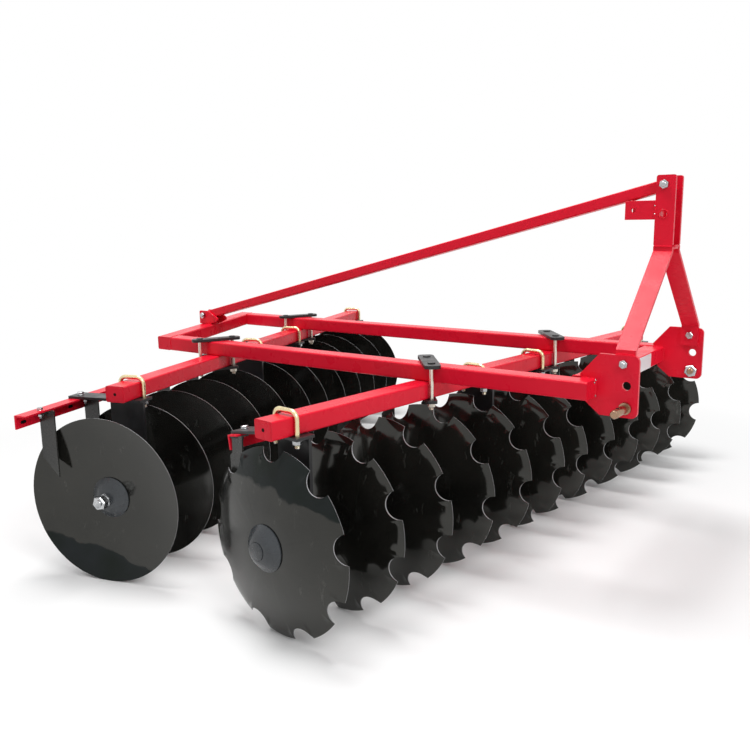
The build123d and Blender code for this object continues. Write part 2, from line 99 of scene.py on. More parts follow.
HITCH_BOLT_X, HITCH_BOLT_Z = 0.089, 0.822
MAST_FRONT, MAST_REAR = 0.121, 0.056
MAST_FOOT = 1.180
MAST_HALF = 0.047
CHEEK_THICK = 0.012
LINK_X, LINK_Z = 0.084, 1.290
BRACE_TOP_Z = 1.388
BRACE_FOOT_X, BRACE_FOOT_Z = -2.252, 0.810
BRACKET_HALF = 0.035
BRACKET_THICK = 0.010

# Rows: beam corner x and y from the datum, heading in degrees, beam length, first rim plane,
# gap between gangs, side of the hollow, start and end of the scraper bar, fall of its arms in degrees
Row = namedtuple("Row", "x y heading length first_rim gang_gap hollow bar_start bar_end arm_fall")
ROWS = {
    "front": Row(-0.659, -1.223, 6.2, 2.550, 0.048, 0.192, 1, 0.053, 2.770, 9.0),
    "rear": Row(-1.4685, -1.131, -17.75, 2.566, -0.101, 0.215, -1, -0.230, 2.600, 0.0),
}
DISCS_PER_GANG = 6
DISCS_PER_ROW = 2 * DISCS_PER_GANG
# Each hanger web stands midway between one of these discs and the next
DISCS_BEFORE_WEBS = (0, 4, 6, 10)

# Turn in degrees of each notched disc of the front row, from the near end
NOTCH_TURNS = (11, 23, 22, 35, 34, 33, 34.5, 36, 3.4, 3.4, 22, 34)


def row_axes(row):
    """Directions along a row's beam to the far side, and back from its front face."""
    turn = radians(ROWS[row].heading)
    along = Vector((sin(turn), cos(turn), 0))
    back = Vector((-cos(turn), sin(turn), 0))
    return along, back


def on_row(row, along, back, height):
    """A point given along a row's beam, back from its front face, and up."""
    x, y = ROWS[row].x, ROWS[row].y
    along_way, back_way = row_axes(row)
    return DATUM + Vector((x, y, height)) + along_way * along + back_way * back


def arm_axes(row):
    """Directions back along a row's scraper arms, and square up from them."""
    back = row_axes(row)[1]
    fall = radians(ROWS[row].arm_fall)
    return back * cos(fall) - Z * sin(fall), back * sin(fall) + Z * cos(fall)


def on_arm(row, along, reach, rise):
    """A point given along a row's beam, back along its scraper arms, and up from their underside."""
    reach_way, rise_way = arm_axes(row)
    return on_row(row, along, WEB_REAR, PLATE_BOTTOM) + reach_way * reach + rise_way * rise


def rim_places(row):
    """Rim plane positions of all the discs along a row's beam."""
    first = ROWS[row].first_rim
    extra = ROWS[row].gang_gap - DISC_PITCH
    return [first + DISC_PITCH * n + (extra if n >= DISCS_PER_GANG else 0) for n in range(DISCS_PER_ROW)]


def hub_places(row):
    """Middle of each disc's hub along a row's beam."""
    return [rim - ROWS[row].hollow * (DISH + DISC_HALF_THICK) for rim in rim_places(row)]


def web_places(row):
    """Positions of the hanger webs along a row's beam."""
    hubs = hub_places(row)
    return [(hubs[n] + hubs[n + 1]) / 2 for n in DISCS_BEFORE_WEBS]


def crossing(row, side):
    """Place along a beam where its middle passes under a rail's middle."""
    y, turn = ROWS[row].y, radians(ROWS[row].heading)
    rail_y = side * (HALF_WIDTH - TUBE_WIDE / 2)
    return (rail_y - y - TUBE_WIDE / 2 * sin(turn)) / cos(turn)


def machine(x, y, z):
    """A point given from the machine datum."""
    return DATUM + Vector((x, y, z))


def added(name, data):
    """A new object in the scene that shows the given data."""
    made = bpy.data.objects.new(name, data)
    bpy.context.scene.collection.objects.link(made)
    return made


# Materials

WHITE = (1.0, 1.0, 1.0)
RED_DEEP, RED_MIDDLE, RED_FULL = (0.72, 0.0080, 0.028), (0.74, 0.0085, 0.030), (0.76, 0.0092, 0.033)
SCUFF = (0.15, 0.15, 0.15)
ENAMEL, ENAMEL_DEEP, ENAMEL_WARM = (0.006, 0.006, 0.006), (0.006, 0.006, 0.0052), (0.014, 0.0135, 0.0115)
DISC_MARK = (0.13, 0.13, 0.12)
# Dark green and blue of the painted reflection of dark surroundings on the nearest discs
PAINTED_REFLECTION_GREEN, PAINTED_REFLECTION_BLUE = (0.0045, 0.0085, 0.0062), (0.013, 0.016, 0.019)
# Grey of the rear discs' rim walls: partly bare ground steel, partly painted highlight
BARE_AND_HIGHLIGHT_EDGE = (0.30, 0.30, 0.31)
GLOSS_TINT = (1.0, 1.0, 0.94)
# Specular level of the enamel, and the lower one inside the painted reflection; then its border width and
# edge wave
ENAMEL_GLOSS, PAINTED_REFLECTION_GLOSS = 0.5, 0.15
PAINTED_REFLECTION_BORDER = 0.004
PAINTED_REFLECTION_WAVE = 0.02
# The painted reflection ends between these places along the beam, past the row's nearest disc
PAINTED_REFLECTION_ENDS = 0.055, 0.065
LABEL_GREY, LABEL_WHITE = (0.70, 0.70, 0.72), (0.80, 0.80, 0.81)


def fill(node, values):
    """Sets a node's inputs by their names."""
    for key, value in values.items():
        node.inputs[key].default_value = value


def seen_rays(nodes, links):
    """1 for rays that see the white background: straight, mirrored or through glass."""
    path = nodes.new("ShaderNodeLightPath")
    seen = path.outputs["Is Camera Ray"]
    for ray in ("Is Glossy Ray", "Is Transmission Ray"):
        either = nodes.new("ShaderNodeMath")
        either.operation = "MAXIMUM"
        links.new(seen, either.inputs[0])
        links.new(path.outputs[ray], either.inputs[1])
        seen = either.outputs["Value"]
    return seen


class Shader:
    """A small helper that builds one procedural material."""

    def __init__(self, name, color, roughness, metallic=0.0):
        self.material = bpy.data.materials.new(name)
        self.material.use_nodes = True
        self.nodes = self.material.node_tree.nodes
        self.links = self.material.node_tree.links
        self.bsdf = self.nodes["Principled BSDF"]
        fill(self.bsdf, {"Base Color": (*color, 1), "Roughness": roughness, "Metallic": metallic})
        self.place = self.nodes.new("ShaderNodeTexCoord")

    def node(self, kind, **values):
        """A new node of the given kind, with the given settings."""
        made = self.nodes.new(kind)
        for key, value in values.items():
            setattr(made, key, value)
        return made

    def join(self, source, target):
        self.links.new(source, target)

    def noise(self, scale, detail=3.0, roughness=0.5, stretch=None):
        """Noise in the piece's own space, as a value from 0 to 1."""
        made = self.node("ShaderNodeTexNoise")
        fill(made, {"Scale": scale, "Detail": detail, "Roughness": roughness})
        source = self.place.outputs["Object"]
        if stretch:
            mapping = self.node("ShaderNodeMapping")
            mapping.inputs["Scale"].default_value = stretch
            self.join(source, mapping.inputs["Vector"])
            source = mapping.outputs["Vector"]
        self.join(source, made.inputs["Vector"])
        return made.outputs["Fac"]

    def remap(self, value, low, high, to_low=0, to_high=1):
        """A value mapped from one range to another, and held at its ends."""
        made = self.node("ShaderNodeMapRange")
        self.join(value, made.inputs["Value"])
        fill(made, {"From Min": low, "From Max": high, "To Min": to_low, "To Max": to_high})
        return made.outputs["Result"]

    def math(self, operation, first, second):
        """A math node on two values, each a socket or a number."""
        made = self.node("ShaderNodeMath", operation=operation)
        for socket, value in zip(made.inputs, (first, second)):
            if isinstance(value, (int, float)):
                socket.default_value = value
            else:
                self.join(value, socket)
        return made.outputs["Value"]

    def mix(self, factor, first, second):
        """Colour mix; first and second are colours or sockets."""
        made = self.node("ShaderNodeMix", data_type="RGBA")
        self.join(factor, made.inputs["Factor"])
        for key, value in (("A", first), ("B", second)):
            socket = [s for s in made.inputs if s.name == key and s.type == "RGBA"][0]
            if isinstance(value, tuple):
                socket.default_value = (*value, 1)
            else:
                self.join(value, socket)
        return [s for s in made.outputs if s.type == "RGBA"][0]

    def bump(self, scale, detail, strength, distance):
        """Small relief of the whole surface, by noise."""
        height = self.noise(scale, detail)
        made = self.node("ShaderNodeBump")
        fill(made, {"Strength": strength, "Distance": distance})
        self.join(height, made.inputs["Height"])
        self.join(made.outputs["Normal"], self.bsdf.inputs["Normal"])

    def color(self, socket):
        self.join(socket, self.bsdf.inputs["Base Color"])

    def rough(self, scale, low, high):
        """Roughness between two values, by noise of the given scale."""
        self.join(self.remap(self.noise(scale), 0.3, 0.7, low, high), self.bsdf.inputs["Roughness"])

    def gloss(self, level):
        self.bsdf.inputs["Specular IOR Level"].default_value = level


def red_paint():
    """Red enamel, slightly uneven in colour and gloss."""
    made = Shader("red_paint", RED_MIDDLE, 0.32)
    patches = made.remap(made.noise(2.5), 0.35, 0.65)
    made.color(made.mix(patches, RED_DEEP, RED_FULL))
    made.rough(16.0, 0.24, 0.34)
    made.gloss(0.16)
    made.bump(60.0, 1.0, 0.02, 0.0002)
    return made.material


def black_paint(name, color, roughness, gloss, wear=0.5):
    """Black enamel with pale scuffs, more of them with more wear."""
    made = Shader(name, color, roughness)
    patches = made.remap(made.noise(9.0), 0.35, 0.65)
    lighter = tuple(part * 1.5 + 0.001 for part in color)
    plain = made.mix(patches, color, lighter)
    grain = made.noise(38.0, 6.0, 0.7, (1, 1, 0.25))
    scuffs = made.remap(grain, 0.69 - 0.06 * wear, 0.77 - 0.06 * wear, 0, wear)
    made.color(made.mix(scuffs, plain, SCUFF))
    made.rough(30.0, roughness * 0.8, roughness * 1.25)
    made.gloss(gloss)
    made.bump(160.0, 2.0, 0.04, 0.0003)
    return made.material


def vector_math(made, operation, vector, fixed):
    """A vector math node on a vector socket and a fixed vector."""
    product = made.node("ShaderNodeVectorMath", operation=operation)
    made.join(vector, product.inputs[0])
    product.inputs[1].default_value = fixed
    return product.outputs


def dot(made, vector, direction):
    """Dot product of a vector socket and a fixed direction."""
    return vector_math(made, "DOT_PRODUCT", vector, direction)["Value"]


def bare_and_highlight_edges(made, offset, along, paint):
    """Grey on the walls at a disc's rim, over the given paint: partly bare ground steel, partly painted
    highlight of the rim's edge.
    """
    lowered = vector_math(made, "SUBTRACT", offset, Z * AXLE_HEIGHT)["Vector"]
    crossed = vector_math(made, "CROSS_PRODUCT", lowered, along)["Vector"]
    radius = made.node("ShaderNodeVectorMath", operation="LENGTH")
    made.join(crossed, radius.inputs[0])
    facing = made.math("ABSOLUTE", dot(made, made.place.outputs["Normal"], along), 0)
    wall = made.remap(facing, 0.35, 0.45, 1, 0)
    outer = made.remap(radius.outputs["Value"], 0.10, 0.11)
    return made.mix(made.math("MULTIPLY", wall, outer), paint, BARE_AND_HIGHLIGHT_EDGE)


def disc_paint(row, reflection_slope, reflection_level, reflection_side, bare_and_highlight_edge=False):
    """Gloss black enamel on a row's discs, with a painted reflection of dark surroundings, dark green-blue
    and less glossy, on one part of the nearest.
    """
    made = Shader(f"disc_black_{row}", ENAMEL, 0.1)
    along, back = row_axes(row)
    axle = on_row(row, 0, AXLE_BACK, 0)
    offset = vector_math(made, "SUBTRACT", made.place.outputs["Object"], axle)["Vector"]
    smudge = made.remap(made.noise(5.0), 0.35, 0.7)
    paint = made.mix(smudge, ENAMEL_DEEP, ENAMEL_WARM)
    marks = made.remap(made.noise(30.0, 8.0, 0.75, (1, 1, 0.35)), 0.61, 0.69, 0, 0.4)
    paint = made.mix(marks, paint, DISC_MARK)
    # Painted reflection: a wavy-edged zone beyond a tilted level, on the nearest disc only, in dark
    # green-blue with less gloss
    wave = made.remap(made.noise(7.0, 4.0), 0.3, 0.7, -PAINTED_REFLECTION_WAVE, PAINTED_REFLECTION_WAVE)
    level = made.math("ADD", dot(made, offset, Z - back * reflection_slope), wave)
    painted_reflection = made.remap(level, reflection_level - PAINTED_REFLECTION_BORDER, reflection_level + PAINTED_REFLECTION_BORDER, *reflection_side)
    nearest = made.remap(dot(made, offset, along), *PAINTED_REFLECTION_ENDS, 1, 0)
    painted_reflection = made.math("MULTIPLY", painted_reflection, nearest)
    paint = made.mix(painted_reflection, paint, made.mix(smudge, PAINTED_REFLECTION_GREEN, PAINTED_REFLECTION_BLUE))
    gloss = made.remap(painted_reflection, 0, 1, ENAMEL_GLOSS, PAINTED_REFLECTION_GLOSS)
    made.join(gloss, made.bsdf.inputs["Specular IOR Level"])
    # Grey rim walls: partly bare ground steel, partly painted highlight
    if bare_and_highlight_edge:
        paint = bare_and_highlight_edges(made, offset, along, paint)
    made.color(paint)
    made.rough(11.0, 0.07, 0.14)
    made.bsdf.inputs["Specular Tint"].default_value = (*GLOSS_TINT, 1)
    made.bump(9.0, 1.0, 0.05, 0.002)
    return made.material


def plated(name, light, dark, roughness):
    """Zinc-plated steel with a soft grain."""
    made = Shader(name, light, roughness, metallic=1.0)
    patches = made.remap(made.noise(45.0), 0.3, 0.7)
    made.color(made.mix(patches, light, dark))
    made.rough(110.0, roughness * 0.75, roughness * 1.3)
    made.bump(400.0, 2.0, 0.08, 0.0004)
    return made.material


def label_white():
    """White coating of the bare plate."""
    made = Shader("label_white", LABEL_WHITE, 0.4)
    made.color(made.mix(made.noise(6.0), LABEL_GREY, LABEL_WHITE))
    made.rough(30.0, 0.35, 0.5)
    return made.material


RED = red_paint()
BLACK = black_paint("black_plate", (0.012, 0.012, 0.013), 0.36, 0.4)
SPOOL = black_paint("spool_black", (0.008, 0.008, 0.009), 0.26, 0.5)
STEEL = black_paint("axle_steel", (0.026, 0.030, 0.034), 0.26, 0.5, 1.0)
BLADE = black_paint("scraper_steel", (0.020, 0.020, 0.018), 0.26, 0.5)
GOLD = plated("gold_zinc", (0.86, 0.74, 0.45), (0.72, 0.60, 0.36), 0.28)
BRONZE = plated("bronze_zinc", (0.44, 0.28, 0.18), (0.30, 0.19, 0.13), 0.26)
SILVER = plated("silver_bolt", (0.56, 0.57, 0.58), (0.36, 0.37, 0.38), 0.24)
CREAM = plated("cream_zinc", (0.80, 0.74, 0.64), (0.64, 0.58, 0.50), 0.32)
LABEL = label_white()
# Black of painted shade, put on thin slabs and discs in place of open slots and holes
PAINTED_HOLE_SHADE = black_paint("hole_shade_painted", (0.003, 0.003, 0.003), 0.7, 0.1)
# The front discs' painted reflection lies above its level, the rear discs' below it
DISC = disc_paint("front", 0.11, 0.484, (0, 1))
REAR_DISC = disc_paint("rear", 0.22, 0.100, (1, 0), bare_and_highlight_edge=True)
# Grey of the outer half of the front discs' rim walls: partly bare ground steel, partly painted highlight
EDGE = black_paint("disc_edge", (0.26, 0.26, 0.27), 0.4, 0.5)

SLOT_MATERIALS = {
    "red_paint": RED,
    "black_plate": BLACK,
    "gold_zinc": GOLD,
    "silver_bolt": SILVER,
    "scraper_steel": BLADE,
    "disc_black": REAR_DISC,
    "spool_black": SPOOL,
    "axle_steel": STEEL,
}


def dress_frame():
    """Gives every node of the model its material."""
    slots = {entry["node"]: entry["material_slot"] for entry in frame["record"]["subparts"]}
    for name, piece in frame["nodes"].items():
        piece.data.materials.clear()
        piece.data.materials.append(SLOT_MATERIALS[slots[name]])


# Pieces are built as joined meshes

# Height of a washer and width over flats of a hexagon, in thread sizes
WASHER_HIGH = 0.14
FLATS_WIDE = 1.5
# Cuts in each side of a plate with a hole
HOLED_CUTS = 8
SHARP_ANGLE = radians(35)
BEVEL_ANGLE = radians(50)


class Builder:
    """Collects simple machined forms into one mesh piece."""

    def __init__(self, name, slot, *materials, body="frame"):
        self.name, self.slot, self.materials, self.body = name, slot, materials, body
        self.mesh = bmesh.new()
        self.paint = 0

    def point(self, place):
        return self.mesh.verts.new(place)

    def face(self, corners):
        made = self.mesh.faces.new(corners)
        made.material_index = self.paint

    def bridge(self, low, high):
        """Quads between two closed rings of points."""
        count = len(low)
        for n in range(count):
            m = (n + 1) % count
            self.face((low[n], low[m], high[m], high[n]))

    def turned(self, place, axis, profile, segments=24, first=None, closed=False):
        """A turned solid: profile lists (radius, distance along axis); closed makes it a ring."""
        axis = axis.normalized()
        side = first.normalized() if first else axis.orthogonal().normalized()
        up = axis.cross(side)
        rings = []
        for radius, step in profile:
            ring = []
            for n in range(segments):
                angle = 2 * pi * n / segments
                out = side * cos(angle) + up * sin(angle)
                ring.append(self.point(place + axis * step + out * radius))
            rings.append(ring)
        for low, high in zip(rings, rings[1:]):
            self.bridge(low, high)
        if closed:
            self.bridge(rings[-1], rings[0])
        else:
            self.face(tuple(reversed(rings[0])))
            self.face(tuple(rings[-1]))

    def hexagon(self, place, axis, flats, high, first=None):
        """A hex head or nut with a chamfered outer end, standing on place."""
        corner = flats / sqrt(3)
        profile = [(corner, 0), (corner, high * 0.86), (corner * 0.88, high)]
        self.turned(place, axis, profile, 6, first)

    def washer(self, place, axis, radius, high):
        """A flat washer with softened edges, standing on place."""
        low, top = [(radius * 0.98, 0), (radius, high * 0.3)], [(radius, high * 0.8), (radius * 0.96, high)]
        self.turned(place, axis, low + top)

    def bolt(self, place, axis, size):
        """Washer and hex head of a bolt of the given thread size, standing on place."""
        self.washer(place, axis, size, size * WASHER_HIGH)
        self.hexagon(place + axis * size * WASHER_HIGH, axis, size * FLATS_WIDE, size * 0.62)

    def nut(self, place, axis, size, tail, first=None):
        """Washer, nut and thread end, standing on place."""
        self.washer(place, axis, size, size * WASHER_HIGH)
        self.hexagon(place + axis * size * WASHER_HIGH, axis, size * FLATS_WIDE, size * 0.8, first)
        self.thread(place + axis * size * 0.9, axis, size, tail)

    def thread(self, place, axis, size, length):
        """A short thread end with visible turns."""
        turns = max(2, int(length / (size * 0.12)))
        profile = []
        for n in range(turns):
            profile.append((size * 0.45, length * n / turns))
            profile.append((size * 0.5, length * (n + 0.5) / turns))
        profile.append((size * 0.42, length))
        self.turned(place, axis, profile, 16)

    def bead(self, start, end, radius, ripple=0.0035):
        """A weld bead with ripples between two points."""
        run = end - start
        steps = max(4, int(run.length / ripple))
        profile = []
        for n in range(steps + 1):
            swell = 1.0 + 0.14 * sin(n * 2.1) + 0.06 * sin(n * 5.3)
            edge = 0.55 if n in (0, steps) else 1.0
            profile.append((radius * swell * edge, run.length * n / steps))
        self.turned(start, run, profile, 8)

    def prism(self, place, across, up, outline, depth):
        """A plate with the given outline, drawn from place, and with the given depth vector."""
        low = [self.point(place + across * x + up * y) for x, y in outline]
        high = [self.point(place + across * x + up * y + depth) for x, y in outline]
        self.bridge(low, high)
        self.face(tuple(reversed(low)))
        self.face(tuple(high))

    def box(self, place, across, up, low, high, depth):
        """A prism with a rectangle from one corner to the other."""
        (left, bottom), (right, top) = low, high
        outline = [(left, bottom), (right, bottom), (right, top), (left, top)]
        self.prism(place, across, up, outline, depth)

    def holed(self, place, across, up, outline, hole, radius, depth):
        """A plate with a round hole; the outline is cut finely and seen whole from the hole."""
        outer, inner = [], []
        count = len(outline)
        for n, (x0, y0) in enumerate(outline):
            x1, y1 = outline[(n + 1) % count]
            for step in range(HOLED_CUTS):
                part = step / HOLED_CUTS
                outer.append((x0 + (x1 - x0) * part, y0 + (y1 - y0) * part))
        for x, y in outer:
            wide, high = x - hole[0], y - hole[1]
            scale = radius / hypot(wide, high)
            inner.append((hole[0] + wide * scale, hole[1] + high * scale))
        rings = []
        for shift in (Vector(), depth):
            for ring in (outer, inner):
                rings.append([self.point(place + across * x + up * y + shift) for x, y in ring])
        for low, high in ((0, 1), (1, 3), (3, 2), (2, 0)):
            self.bridge(rings[low], rings[high])

    def slab(self, place, across, up, out, wide, high, thick, round_by):
        """A thin plate centred on place, facing out, with rounded corners."""
        self.prism(place, across, up, rounded(wide, high, round_by), out * thick)

    def finish(self, *nodes, bevel=0.0):
        """Turns the mesh into a piece that rides on its body, in place of the named nodes."""
        bmesh.ops.recalc_face_normals(self.mesh, faces=self.mesh.faces)
        data = bpy.data.meshes.new(self.name)
        self.mesh.to_mesh(data)
        self.mesh.free()
        piece = added(self.name, data)
        for material in self.materials:
            data.materials.append(material)
        data.shade_smooth()
        data.set_sharp_from_angle(angle=SHARP_ANGLE)
        if bevel:
            rounding = piece.modifiers.new("rounding", "BEVEL")
            rounding.width = bevel
            rounding.segments = 2
            rounding.limit_method = "ANGLE"
            rounding.angle_limit = BEVEL_ANGLE
        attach(piece, self.body)
        if nodes:
            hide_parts(*nodes)


def rounded(wide, high, round_by, steps=5):
    """Outline of a rectangle with rounded corners, about its middle."""
    outline = []
    inner_w, inner_h = wide / 2 - round_by, high / 2 - round_by
    for sx, sy, first in ((1, 1, 0), (-1, 1, 90), (-1, -1, 180), (1, -1, 270)):
        for n in range(steps):
            angle = radians(first + n * 90 / (steps - 1))
            x, y = round_by * cos(angle), round_by * sin(angle)
            outline.append((sx * inner_w + x, sy * inner_h + y))
    return outline


# Gangs

BEVEL_WIDE = 0.016
EDGE_THICK = 0.002
NOTCH_RADIUS = 0.047
NOTCH_DEPTH = 0.042
NOTCH_COUNT = 9
NOTCH_STEPS = 18
TOOTH_STEPS = 6
DISC_HOLE = 0.030
# Rings of a disc's faces, as parts of the way from its hub flat to its edge
DISC_RINGS = (0.0, 0.2, 0.4, 0.6, 0.75, 0.88, 0.96, 1.0)


def bowl_rise(radius):
    """Rise of a disc's bowl above its hub flat."""
    if radius <= HUB_RADIUS:
        return 0.0
    return DISH * (radius**2 - HUB_RADIUS**2) / (DISC_RADIUS**2 - HUB_RADIUS**2)


def bulge_level(radius):
    """Level of the disc's bulged face, with the bevel ground on its rim."""
    start = DISC_RADIUS - BEVEL_WIDE
    if radius <= start:
        return bowl_rise(radius) - DISC_HALF_THICK
    part = (radius - start) / BEVEL_WIDE
    rim = DISC_HALF_THICK + DISH - EDGE_THICK
    return (bowl_rise(start) - DISC_HALF_THICK) * (1 - part) + rim * part


def notch_outline():
    """Outline of one pitch of a notched disc, as (angle, radius) from a notch's middle."""
    ring = DISC_RADIUS - NOTCH_DEPTH + NOTCH_RADIUS
    reach = acos((ring**2 + NOTCH_RADIUS**2 - DISC_RADIUS**2) / (2 * ring * NOTCH_RADIUS))
    outline = []
    for n in range(NOTCH_STEPS + 1):
        turn = reach * (2 * n / NOTCH_STEPS - 1)
        x, y = ring - NOTCH_RADIUS * cos(turn), NOTCH_RADIUS * sin(turn)
        outline.append((atan2(y, x), hypot(x, y)))
    last, step = outline[-1][0], 2 * pi / NOTCH_COUNT
    gap = step - 2 * last
    outline += [(last + gap * n / TOOTH_STEPS, DISC_RADIUS) for n in range(1, TOOTH_STEPS)]
    return outline


def notched_disc(builder, hub, axis, front, turn):
    """One dished disc with round notches: axis points to its hollow side, front to its first notch."""
    down = axis.cross(front)
    rim = []
    for count in range(NOTCH_COUNT):
        start = turn + 2 * pi * count / NOTCH_COUNT
        rim += [(angle + start, radius) for angle, radius in notch_outline()]
    faces = []
    for level in (lambda r: bowl_rise(r) + DISC_HALF_THICK, bulge_level):
        rings = []
        for part in (None, *DISC_RINGS):
            ring = []
            for angle, edge in rim:
                radius = DISC_HOLE if part is None else HUB_RADIUS + (edge - HUB_RADIUS) * part
                out = front * cos(angle) + down * sin(angle)
                ring.append(builder.point(hub + out * radius + axis * level(radius)))
            rings.append(ring)
        for low, high in zip(rings, rings[1:]):
            builder.bridge(low, high)
        faces.append(rings)
    builder.bridge(faces[0][0], faces[1][0])
    middle = [builder.point((a.co + b.co) / 2) for a, b in zip(faces[0][-1], faces[1][-1])]
    builder.bridge(faces[1][-1], middle)
    # The outer half of the rim wall takes the second material, a grey that is partly bare steel, partly
    # painted highlight
    builder.paint = 1
    builder.bridge(middle, faces[0][-1])
    builder.paint = 0


def notched_gangs():
    """The front row's discs, with the notches and turns that the photograph shows."""
    along, back = row_axes("front")
    hubs = hub_places("front")
    for gang, body in enumerate(("front_near_gang", "front_far_gang")):
        discs = Builder(body.replace("gang", "notched_discs"), "disc_black", DISC, EDGE, body=body)
        for n in range(DISCS_PER_GANG * gang, DISCS_PER_GANG * (gang + 1)):
            hub = on_row("front", hubs[n], AXLE_BACK, AXLE_HEIGHT)
            notched_disc(discs, hub, along, -back, -radians(NOTCH_TURNS[n]))
        discs.finish(body.replace("gang", "discs"))


# The end washers' domes: outer radius, level and curve; then the flush head in the dome's middle
DOME_RADIUS = WASHER_RADIUS - 0.002
DOME_START = 0.006
DOME_CURVE = 1.7
HEAD_DOME = 0.0335, 0.0305
HEAD_PROFILE = [(0.0295, 0.0335), (0.029, 0.0325), (0.028, 0.0325), (0.028, 0.0355), (0.027, 0.036)]
NUT_DOME = 0.031, 0.0235
# Nuts on the axle's end: flats, heights, levels from the hub, and the thread's size and length
AXLE_NUT_FLATS = 0.046
LOCK_NUT_HIGH, MAIN_NUT_HIGH = 0.016, 0.026
LOCK_NUT, COLLAR, MAIN_NUT, THREAD_END = 0.031, 0.047, 0.050, 0.075
AXLE_THREAD = 0.025, 0.007
COLLAR_PROFILE = [(0.0215, 0), (0.022, 0.0008), (0.022, 0.003)]


def dome(top, inner, steps=8):
    """Profile of a dished end washer, from its rim up to its middle."""
    profile = [(WASHER_RADIUS - 0.001, 0), (WASHER_RADIUS, 0.001), (WASHER_RADIUS, 0.0045)]
    for n in range(steps + 1):
        part = n / steps
        radius = DOME_RADIUS + (inner - DOME_RADIUS) * part
        profile.append((radius, DOME_START + (top - DOME_START) * (1 - (1 - part) ** DOME_CURVE)))
    return profile


def gang_axles():
    """Square axles with their dished end washers, a flush head on one end and nuts on the other."""
    for row in ROWS:
        along, back = row_axes(row)
        hollow = ROWS[row].hollow
        hubs = hub_places(row)
        out = along * hollow
        # Directions of the square bar's sides, turned about the axle
        front = -back * cos(AXLE_TURN) - out.cross(-back) * hollow * sin(AXLE_TURN)
        down = out.cross(front)
        for gang, side in enumerate(("near", "far")):
            body = f"{row}_{side}_gang"
            ends = hubs[DISCS_PER_GANG * gang], hubs[DISCS_PER_GANG * (gang + 1) - 1]
            first, last = ends if hollow > 0 else ends[::-1]
            start = on_row(row, first - hollow * DISC_HALF_THICK, AXLE_BACK, AXLE_HEIGHT)
            end = on_row(row, last + hollow * DISC_HALF_THICK, AXLE_BACK, AXLE_HEIGHT)
            axle = Builder(f"{row}_{side}_axle_piece", "axle_steel", STEEL, body=body)
            corners = (-AXLE_HALF, -AXLE_HALF), (AXLE_HALF, AXLE_HALF)
            axle.box(start, front, down, *corners, end - start)
            axle.turned(start, -out, dome(*HEAD_DOME) + HEAD_PROFILE, 48)
            axle.turned(end, out, dome(*NUT_DOME) + [(0.0225, LOCK_NUT)], 48)
            axle.finish(f"{row}_{side}_axle")
            nuts = Builder(f"{row}_{side}_axle_nuts", "silver_bolt", SILVER, body=body)
            nuts.hexagon(end + out * LOCK_NUT, out, AXLE_NUT_FLATS, LOCK_NUT_HIGH, front + down * 0.35)
            nuts.turned(end + out * COLLAR, out, COLLAR_PROFILE, 32)
            nuts.hexagon(end + out * MAIN_NUT, out, AXLE_NUT_FLATS, MAIN_NUT_HIGH, front)
            nuts.thread(end + out * THREAD_END, out, *AXLE_THREAD)
            nuts.finish()


# Hangers and scrapers

ARM_REACH = 0.176
ANGLE_LEG = 0.050
ANGLE_THICK = 0.006
BLADE_THICK = 0.006
BLADE_FROM_RIM = 0.009
BLADE_FOOT = 0.044
FOOT_MIDDLE = 0.148
FOOT_HALF = 0.021
ARM_LAP = 0.006
ANGLE_FILLET = 0.004
BLADE_FRONT, BLADE_REAR = 0.218, 0.281
BLADE_NECK = 0.004
BLADE_SHOULDER = 0.012
BLADE_SLANT, BLADE_TIP = 0.458, 0.385
PLATE_BEVEL = 0.0007
BAR_BEVEL = 0.0012
# Thread sizes, and how far the threads stand out of their nuts
ARM_BOLT, FOOT_BOLT, U_BOLT_NUT = 0.014, 0.012, 0.017
FOOT_TAIL, U_BOLT_TAIL = 0.008, 0.012
FOOT_BOLT_PART = 0.55
# Slots of the scraper bars: length, width, thickness and rounding, level, space to the bar's ends
SLOT_SIZE = 0.026, 0.011, 0.0006, 0.005
SLOT_LEVEL = -0.030
SLOT_START, SLOT_END = 0.035, 0.03
HANGER_BEAD_OUT = 0.006
HANGER_BEAD = 0.0035


